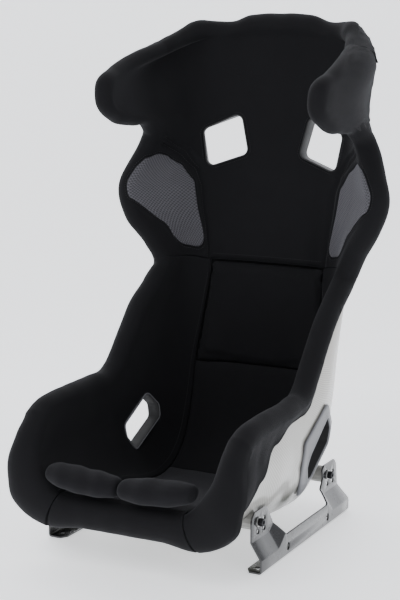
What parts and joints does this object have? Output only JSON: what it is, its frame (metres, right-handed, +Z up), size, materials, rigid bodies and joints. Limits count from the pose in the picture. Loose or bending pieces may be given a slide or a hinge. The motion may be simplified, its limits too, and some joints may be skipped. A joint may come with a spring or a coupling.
{
  "type": "racing seat",
  "caption": "Winged bucket racing seat: composite shell, velour padding, mesh shoulder panels, harness openings and folded steel side brackets.",
  "frame": {"origin": "centre of the footprint, on the floor under the brackets' feet", "axes": "+X to the seat's left-hand side (the sitter's left), -Y the way the sitter faces, +Z up"},
  "size_m": [0.5382, 0.6621, 0.8902],
  "materials": {
    "velour": "black velour with a soft sheen on rolled edges",
    "ribbed_fabric": "black fabric with fine ribs running front to back",
    "spacer_mesh": "grey perforated spacer mesh",
    "hook_tape": "black hook tape",
    "slot_binding": "black bound edge",
    "shell_composite": "light grey glass-fibre weave under clear gelcoat",
    "bezel_plastic": "satin mid-grey moulding",
    "bracket_paint": "gloss black powder coat",
    "black_bolt": "black oxide steel",
    "plain_steel": "plain zinc steel"
  },
  "bodies": {
    "seat": {"bolster_cover_left": "velour", "bolster_cover_right": "velour", "boss_front_left": "shell_composite", "boss_front_right": "shell_composite", "boss_rear_left": "shell_composite", "boss_rear_right": "shell_composite", "captive_nut_front_left": "plain_steel", "captive_nut_front_right": "plain_steel", "captive_nut_rear_left": "plain_steel", "captive_nut_rear_right": "plain_steel", "crotch_slot_trim": "slot_binding", "front_lip_cover": "velour", "lap_slot_bezel_left": "bezel_plastic", "lap_slot_bezel_right": "bezel_plastic", "lower_back_pad": "velour", "lumbar_hook_tape": "hook_tape", "seat_hook_tape_front": "hook_tape", "seat_hook_tape_rear": "hook_tape", "shell": "shell_composite", "shoulder_mesh_left": "spacer_mesh", "shoulder_mesh_right": "spacer_mesh", "shoulder_slot_trim_left": "slot_binding", "shoulder_slot_trim_right": "slot_binding", "side_bolt_front_left": "black_bolt", "side_bolt_front_right": "black_bolt", "side_bolt_rear_left": "black_bolt", "side_bolt_rear_right": "black_bolt", "side_bracket_left": "bracket_paint", "side_bracket_right": "bracket_paint", "upper_cover": "velour", "washer_front_left": "plain_steel", "washer_front_right": "plain_steel", "washer_rear_left": "plain_steel", "washer_rear_right": "plain_steel"},
    "lumbar": {"lumbar_pad": "velour"},
    "seat_cushion": {"seat_pad": "ribbed_fabric", "thigh_roll_left": "velour", "thigh_roll_right": "velour"}
  },
  "joints": [
    {"name": "lumbar_pad_lift_off", "type": "slide", "parent": "seat", "child": "lumbar", "axis": [0, -0.9932, 0.1168], "range_m": [0, 0.06]},
    {"name": "seat_cushion_lift_off", "type": "slide", "parent": "seat", "child": "seat_cushion", "axis": [0, 0, 1], "range_m": [0, 0.08]}
  ]
}
